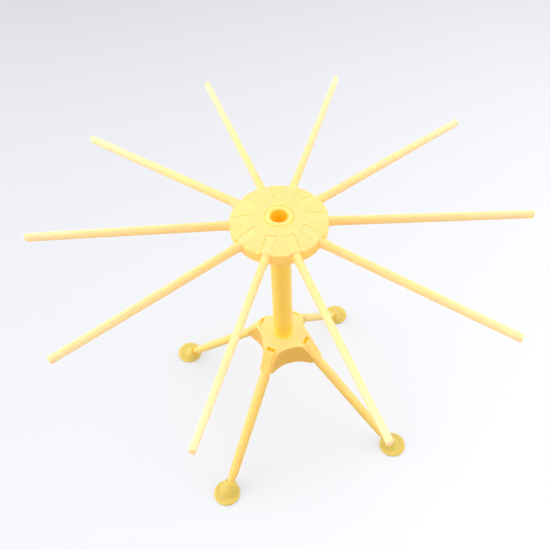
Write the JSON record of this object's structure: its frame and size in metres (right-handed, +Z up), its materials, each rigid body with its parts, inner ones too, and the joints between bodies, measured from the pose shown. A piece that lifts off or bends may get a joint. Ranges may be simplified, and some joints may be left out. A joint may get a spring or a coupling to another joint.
{
  "type": "pasta drying rack",
  "caption": "Free-standing pasta drying rack: level rods hinged round a turning hub on a column, with folding legs and soft round feet.",
  "frame": {"origin": "on the floor, on the axis of the column", "axes": "+Z up the column, +X along the first rod"},
  "size_m": [0.418, 0.3992, 0.2835],
  "materials": {
    "hub_plastic": "satin moulded plastic, pale lemon yellow",
    "rod_plastic": "satin moulded plastic, pale lemon yellow",
    "column_plastic": "satin moulded plastic, pale lemon yellow",
    "base_plastic": "satin moulded plastic, pale lemon yellow",
    "leg_plastic": "satin moulded plastic, pale lemon yellow",
    "foot_rubber": "soft translucent greenish yellow",
    "pin_steel": "plain drawn steel",
    "screw_steel": "zinc plated steel"
  },
  "bodies": {
    "base": {"base_hub": "base_plastic", "leg_pins": "pin_steel", "column": "column_plastic", "top_ring": "hub_plastic"},
    "hub": {"hub_disc": "hub_plastic", "hub_plate": "hub_plastic", "hub_screws": "screw_steel", "rod_pins": "pin_steel"},
    "rod_01": {"rod_01": "rod_plastic"},
    "rod_02": {"rod_02": "rod_plastic"},
    "rod_03": {"rod_03": "rod_plastic"},
    "rod_04": {"rod_04": "rod_plastic"},
    "rod_05": {"rod_05": "rod_plastic"},
    "rod_06": {"rod_06": "rod_plastic"},
    "rod_07": {"rod_07": "rod_plastic"},
    "rod_08": {"rod_08": "rod_plastic"},
    "rod_09": {"rod_09": "rod_plastic"},
    "rod_10": {"rod_10": "rod_plastic"},
    "leg_1": {"leg_1": "leg_plastic", "foot_pad_1": "foot_rubber"},
    "leg_2": {"leg_2": "leg_plastic", "foot_pad_2": "foot_rubber"},
    "leg_3": {"leg_3": "leg_plastic", "foot_pad_3": "foot_rubber"},
    "leg_4": {"leg_4": "leg_plastic", "foot_pad_4": "foot_rubber"}
  },
  "joints": [
    {"name": "hub_spin", "type": "hinge", "parent": "base", "child": "hub", "pos_m": [0, 0, 0.2745], "axis": [0, 0, 1], "continuous": true},
    {"name": "rod_01_swing", "type": "hinge", "parent": "hub", "child": "rod_01", "pos_m": [0.027, 0, 0.277], "axis": [0, -1, 0], "range_deg": [0, 91]},
    {"name": "rod_02_swing", "type": "hinge", "parent": "hub", "child": "rod_02", "pos_m": [0.02184, 0.01587, 0.277], "axis": [0.5878, -0.809, 0], "range_deg": [0, 91]},
    {"name": "rod_03_swing", "type": "hinge", "parent": "hub", "child": "rod_03", "pos_m": [0.00834, 0.02568, 0.277], "axis": [0.9511, -0.309, 0], "range_deg": [0, 91]},
    {"name": "rod_04_swing", "type": "hinge", "parent": "hub", "child": "rod_04", "pos_m": [-0.00834, 0.02568, 0.277], "axis": [0.9511, 0.309, 0], "range_deg": [0, 91]},
    {"name": "rod_05_swing", "type": "hinge", "parent": "hub", "child": "rod_05", "pos_m": [-0.02184, 0.01587, 0.277], "axis": [0.5878, 0.809, 0], "range_deg": [0, 91]},
    {"name": "rod_06_swing", "type": "hinge", "parent": "hub", "child": "rod_06", "pos_m": [-0.027, 0, 0.277], "axis": [0, 1, 0], "range_deg": [0, 91]},
    {"name": "rod_07_swing", "type": "hinge", "parent": "hub", "child": "rod_07", "pos_m": [-0.02184, -0.01587, 0.277], "axis": [-0.5878, 0.809, 0], "range_deg": [0, 91]},
    {"name": "rod_08_swing", "type": "hinge", "parent": "hub", "child": "rod_08", "pos_m": [-0.00834, -0.02568, 0.277], "axis": [-0.9511, 0.309, 0], "range_deg": [0, 91]},
    {"name": "rod_09_swing", "type": "hinge", "parent": "hub", "child": "rod_09", "pos_m": [0.00834, -0.02568, 0.277], "axis": [-0.9511, -0.309, 0], "range_deg": [0, 91]},
    {"name": "rod_10_swing", "type": "hinge", "parent": "hub", "child": "rod_10", "pos_m": [0.02184, -0.01587, 0.277], "axis": [-0.5878, -0.809, 0], "range_deg": [0, 91]},
    {"name": "leg_1_fold", "type": "hinge", "parent": "base", "child": "leg_1", "pos_m": [0.02499, -0.01472, 0.11], "axis": [0.5075, 0.8616, 0], "range_deg": [0, 41.5]},
    {"name": "leg_2_fold", "type": "hinge", "parent": "base", "child": "leg_2", "pos_m": [0.01472, 0.02499, 0.11], "axis": [-0.8616, 0.5075, 0], "range_deg": [0, 41.5]},
    {"name": "leg_3_fold", "type": "hinge", "parent": "base", "child": "leg_3", "pos_m": [-0.02499, 0.01472, 0.11], "axis": [-0.5075, -0.8616, 0], "range_deg": [0, 41.5]},
    {"name": "leg_4_fold", "type": "hinge", "parent": "base", "child": "leg_4", "pos_m": [-0.01472, -0.02499, 0.11], "axis": [0.8616, -0.5075, 0], "range_deg": [0, 41.5]}
  ]
}
